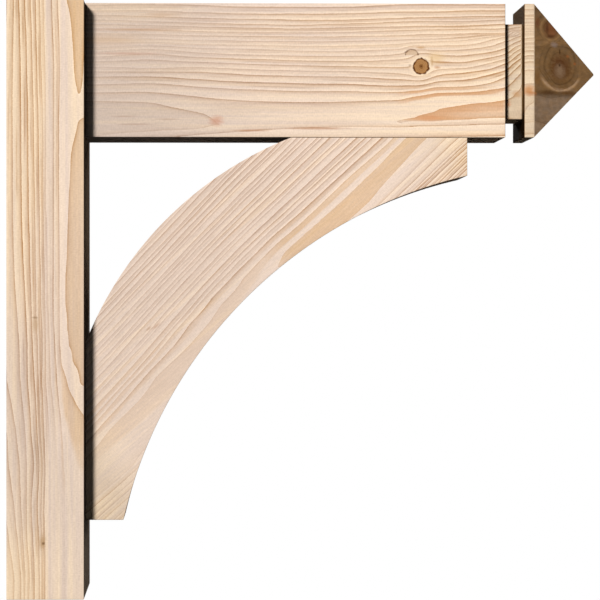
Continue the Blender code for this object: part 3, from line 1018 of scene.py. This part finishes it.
class OUTLOOKER_OT_beam(bpy.types.Operator):
    """Adds the beam with its neck, collar and point."""

    bl_idname = "outlooker.add_beam"
    bl_label = "Add beam"

    def profile(self, sizes):
        """Sections along the beam: place, cut at the sides, cut at top and bottom, arris."""
        arris = sizes.arris
        close = arris * (1 - math.sqrt(0.5))
        start, tip = BEAM_LOW.x, BEAM_HIGH.x
        point = tip - sizes.point_length
        collar = point - sizes.collar_length
        neck = collar - sizes.neck_length
        half_wide = (BEAM_HIGH.y - BEAM_LOW.y) / 2
        half_high = (BEAM_HIGH.z - BEAM_LOW.z) / 2
        inward, down = sizes.neck_cut_in, sizes.neck_cut_down
        rows = [(start, arris), (start + close, close), (start + arris, 0)]
        rows += [(x, 0) for x in np.linspace(start + arris, neck - arris, RUN_SECTIONS)[1:]]
        rows += [(neck - close, close), (neck, arris)]
        rows = [(x, cut, cut, arris) for x, cut in rows]
        shares = np.linspace(0, 1, WALL_SECTIONS)[1:]
        wall = [(arris + (inward - arris) * s, arris + (down - arris) * s, arris) for s in shares]
        rows += [(neck, *cuts) for cuts in wall]
        rows += [(x, inward, down, arris) for x in np.linspace(neck, collar, NECK_SECTIONS)[1:]]
        rows += [(collar, *cuts) for cuts in wall[::-1][1:]]
        rows += [(collar, arris, arris, arris), (collar + close, close, close, arris)]
        rows += [(x, 0, 0, arris) for x in np.linspace(collar + arris, point, COLLAR_SECTIONS)]
        flat_high = sizes.tip_flat / 2
        flat_wide = flat_high * half_wide / half_high
        for share in np.linspace(0, 1, POINT_SECTIONS)[1:]:
            x = point + (tip - point) * share
            cut_wide, cut_high = (half_wide - flat_wide) * share, (half_high - flat_high) * share
            rows.append((x, cut_wide, cut_high, POINT_ARRIS * arris * (1 - share)))
        return np.array(rows)

    def execute(self, context):
        sizes = context.scene.outlooker_timber
        rows = self.profile(sizes)
        centre = (BEAM_LOW + BEAM_HIGH) / 2
        wide, high = BEAM_HIGH.y - BEAM_LOW.y, BEAM_HIGH.z - BEAM_LOW.z
        across = spaced(wide, sizes.grid_across, sizes.arris) / wide * 2 - 1
        upright = spaced(high, sizes.grid_across, sizes.arris) / high * 2 - 1
        index, faces = block_surface([len(rows), len(across), len(upright)])
        x, cut_wide, cut_high, radius = rows[index[:, 0]].T
        half = np.stack((wide / 2 - cut_wide, high / 2 - cut_high), axis=1)
        share = np.stack((across[index[:, 1]], upright[index[:, 2]]), axis=1)
        gaps = half * (1 - np.abs(share))
        inward = np.zeros((len(x), 2, 3))
        inward[:, 0, 1] = -np.sign(share[:, 0])
        inward[:, 1, 2] = -np.sign(share[:, 1])
        y, z = centre.y + half[:, 0] * share[:, 0], centre.z + half[:, 1] * share[:, 1]
        points = np.stack((x, y, z), axis=1)
        on_side = np.abs(share).max(axis=1) > 1 - 1e-9
        moved = eased(points, gaps, inward, radius)
        points = np.where(on_side[:, None] & (radius > 1e-7)[:, None], moved, points)
        add_timber("beam_timber", "beam", points, faces, BeamGrain(), BEAM_FLAWS)
        return {"FINISHED"}


def bowed_arc(start, end, bow, count):
    """Points from start to end on the arc that bows towards the corner at the origin by that much."""
    chord = math.dist(start, end)
    radius = (chord * chord / 4 + bow * bow) / (2 * bow)
    away = (radius - bow) / math.sqrt(2)
    centre = ((start[0] + end[0]) / 2 + away, (start[1] + end[1]) / 2 + away)
    first = math.atan2(start[1] - centre[1], start[0] - centre[0]) % math.tau
    last = math.atan2(end[1] - centre[1], end[0] - centre[0]) % math.tau
    turn = np.linspace(first, last, count)
    return np.stack((centre[0] + radius * np.cos(turn), centre[1] + radius * np.sin(turn)), axis=1)


def walk(path, distances):
    """Points at those distances along a line of many points, and the line's direction there."""
    steps = np.linalg.norm(np.diff(path, axis=0), axis=1)
    so_far = np.concatenate(((0.0,), np.cumsum(steps)))
    found = np.stack([np.interp(distances, so_far, path[:, i]) for i in range(2)], axis=1)
    ways = np.gradient(found, axis=0)
    return found, ways / np.linalg.norm(ways, axis=1, keepdims=True)


class OUTLOOKER_OT_brace(bpy.types.Operator):
    """Adds the curved brace between the post and the beam."""

    bl_idname = "outlooker.add_brace"
    bl_label = "Add brace"

    def sides(self, sizes):
        """The back and the belly as rows of points, out from the post and down from the beam."""
        reach = BRACE_HIGH.x - BRACE_LOW.x
        start, arris, step = sizes.back_start, sizes.arris, sizes.grid_along
        arc = bowed_arc((0, start), (start, 0), sizes.back_bow, 400)
        arc_length = np.linalg.norm(np.diff(arc, axis=0), axis=1).sum()
        back = np.concatenate((((0, reach),), arc, ((reach, 0),)))
        straight = reach - start
        close = half_round(arris)
        lead = np.linspace(arris, straight, round(straight / step) + 1)
        bend = np.linspace(straight, straight + arc_length, round(arc_length / step) + 1)[1:]
        total = 2 * straight + arc_length
        tail = total - lead[::-1]
        marks = np.concatenate(((0, close), lead, bend[:-1], tail, (total - close, total)))
        belly = bowed_arc((sizes.brace_end, reach), (reach, sizes.brace_end), sizes.belly_bow, 800)
        belly_length = np.linalg.norm(np.diff(belly, axis=0), axis=1).sum()
        even = np.linspace(arris, belly_length - arris, len(marks) - 4)
        belly_marks = np.concatenate(((0, close), even, (belly_length - close, belly_length)))
        return walk(back, marks), walk(belly, belly_marks)

    def execute(self, context):
        sizes = context.scene.outlooker_timber
        arris = sizes.arris
        (back, back_way), (belly, belly_way) = self.sides(sizes)
        widest = np.linalg.norm(belly - back, axis=1).max()
        pattern = spaced(widest, sizes.grid_across, arris)
        share = np.clip((pattern - arris) / (widest - 2 * arris), 0, 1)
        offset = pattern - share * (widest - 2 * arris)
        thick = BRACE_HIGH.y - BRACE_LOW.y
        depth = spaced(thick, sizes.grid_across, arris)
        index, faces = block_surface([len(back), len(pattern), len(depth)])
        i, j, k = index.T
        line = belly[i] - back[i]
        width = np.linalg.norm(line, axis=1, keepdims=True)
        place = back[i] + line / width * (offset[j][:, None] + share[j][:, None] * (width - 2 * arris))
        # Out from the post is +X and down from the beam is -Z.
        corner = (BRACE_LOW.x, BRACE_LOW.y, BRACE_HIGH.z)
        flat = corner + np.stack((place[:, 0], depth[k], -place[:, 1]), axis=1)
        from_back = np.stack((back_way[i, 1], -back_way[i, 0]), axis=1) * -1
        from_belly = np.stack((belly_way[i, 1], -belly_way[i, 0]), axis=1)
        back_gap = np.abs(((place - back[i]) * from_back).sum(axis=1))
        belly_gap = np.abs(((place - belly[i]) * from_belly).sum(axis=1))
        reach = BRACE_HIGH.x - BRACE_LOW.x
        low_gap, high_gap = reach - place[:, 1], reach - place[:, 0]
        near_back = (back_gap < belly_gap)[:, None]
        way = np.where(near_back, from_back, from_belly)
        near_low = (low_gap < high_gap)[:, None]
        end_way = np.where(near_low, np.array((0.0, -1.0)), np.array((-1.0, 0.0)))
        depth_gap, depth_way = box_gaps(depth[k], thick)
        side_gap, end_gap = np.minimum(back_gap, belly_gap), np.minimum(low_gap, high_gap)
        gaps = np.stack((side_gap, end_gap, depth_gap), axis=1)
        inward = np.zeros((len(i), 3, 3))
        inward[:, 0, 0], inward[:, 0, 2] = way[:, 0], -way[:, 1]
        inward[:, 1, 0], inward[:, 1, 2] = end_way[:, 0], -end_way[:, 1]
        inward[:, 2, 1] = depth_way
        points = eased(flat, gaps, inward, np.full(len(i), arris))
        add_timber("brace_timber", "brace", points, faces, BraceGrain(), BRACE_FLAWS)
        return {"FINISHED"}


class OUTLOOKER_OT_stage(bpy.types.Operator):
    """Adds the floor, the lights, the camera and the bright room."""

    bl_idname = "outlooker.add_stage"
    bl_label = "Add stage"

    def add_sun(self, name, towards, strength, spread, lit_pieces=()):
        """A far light, given by the way from the object towards it. It may light a few pieces alone."""
        lamp = bpy.data.lights.new(name, "SUN")
        lamp.energy = strength
        lamp.angle = math.radians(spread)
        lit = bpy.data.objects.new(name, lamp)
        lit.rotation_euler = Vector(towards).to_track_quat("Z", "Y").to_euler()
        lit.location = Vector(towards).normalized() * 3
        bpy.context.scene.collection.objects.link(lit)
        if lit_pieces:
            chosen = bpy.data.collections.new(name + "_pieces")
            for piece in lit_pieces:
                chosen.objects.link(bpy.data.objects[piece])
            lit.light_linking.receiver_collection = chosen

    def add_floor(self, stage):
        """A matt painted floor: it reflects plainly and glows a little, so that it stays pale."""
        half, drop = stage.floor_size / 2, -stage.floor_drop
        corners = [(-half, -half, drop), (half, -half, drop), (half, half, drop), (-half, half, drop)]
        mesh = bpy.data.meshes.new("floor")
        mesh.from_pydata(corners, [], [(0, 1, 2, 3)])
        paint = bpy.data.materials.new("matt_floor_paint")
        paint.use_nodes = True
        shader = paint.node_tree.nodes["Principled BSDF"]
        feed(shader, {"Base Color": stage.floor_tone, "Roughness": 0.9})
        feed(shader, {"Emission Color": stage.floor_tone, "Emission Strength": 0.45})
        mesh.materials.append(paint)
        floor = bpy.data.objects.new("floor", mesh)
        floor.visible_diffuse = False
        bpy.context.scene.collection.objects.link(floor)

    def add_room(self, stage):
        """White all round for the camera, and hardly any light from it on the timber."""
        world = bpy.data.worlds.new("pale_room")
        world.use_nodes = True
        tree = world.node_tree
        seen = add_node(tree, "LightPath").outputs["Is Camera Ray"]
        level = add_node(tree, "MapRange", (seen, 0.0, 1.0, stage.room_strength, 1.0))
        feed(tree.nodes["Background"], {"Color": (1, 1, 1), "Strength": level})
        bpy.context.scene.world = world

    def add_camera(self, stage):
        """The photograph's own place and angle, from in front of the outlooker's side."""
        lens = bpy.data.cameras.new("camera")
        lens.lens = stage.camera_lens
        lens.sensor_width = 36
        lens.shift_x, lens.shift_y = CAMERA_SHIFT
        lens.clip_end = 100
        camera = bpy.data.objects.new("camera", lens)
        camera.location = CAMERA_PLACE
        camera.rotation_euler = [math.radians(turn) for turn in CAMERA_TURN]
        bpy.context.scene.collection.objects.link(camera)
        bpy.context.scene.camera = camera

    def execute(self, context):
        stage = context.scene.outlooker_stage
        self.add_floor(stage)
        self.add_room(stage)
        self.add_sun("key_light", (-0.345, -0.853, 0.391), stage.key_strength, 10)
        self.add_sun("back_light", (-0.15, 0.90, 0.41), stage.back_strength, 25)
        self.add_sun("side_light", (0.80, 0.45, 0.40), stage.side_strength, 30)
        filled = ("beam_timber", "brace_timber")
        self.add_sun("fill_light", (0.93, 0.0, 0.35), stage.fill_strength, 30, filled)
        self.add_camera(stage)
        context.scene.view_settings.view_transform = "Standard"
        return {"FINISHED"}


class OUTLOOKER_PT_panel(bpy.types.Panel):
    """Lists the settings and the parts of the outlooker."""

    bl_idname = "OUTLOOKER_PT_panel"
    bl_label = "Outlooker"
    bl_space_type = "VIEW_3D"
    bl_region_type = "UI"
    bl_category = "Outlooker"

    def draw(self, context):
        for name in GROUPS:
            group, box = getattr(context.scene, name), self.layout.box()
            for setting in group.__annotations__:
                box.prop(group, setting)
        for operator in OPERATORS:
            self.layout.operator(operator.bl_idname)


OPERATORS = (OUTLOOKER_OT_post, OUTLOOKER_OT_beam, OUTLOOKER_OT_brace, OUTLOOKER_OT_stage)
GROUPS = {
    "outlooker_timber": OUTLOOKER_PG_timber,
    "outlooker_finish": OUTLOOKER_PG_finish,
    "outlooker_stage": OUTLOOKER_PG_stage,
}
CLASSES = (*GROUPS.values(), *OPERATORS, OUTLOOKER_PT_panel)


def register():
    for kind in CLASSES:
        bpy.utils.register_class(kind)
    for name, kind in GROUPS.items():
        setattr(bpy.types.Scene, name, PointerProperty(type=kind))


def unregister():
    for name in GROUPS:
        delattr(bpy.types.Scene, name)
    for kind in reversed(CLASSES):
        bpy.utils.unregister_class(kind)


def main():
    register()
    bpy.ops.outlooker.add_post()
    bpy.ops.outlooker.add_beam()
    bpy.ops.outlooker.add_brace()
    bpy.ops.outlooker.add_stage()


if __name__ == "__main__":
    main()
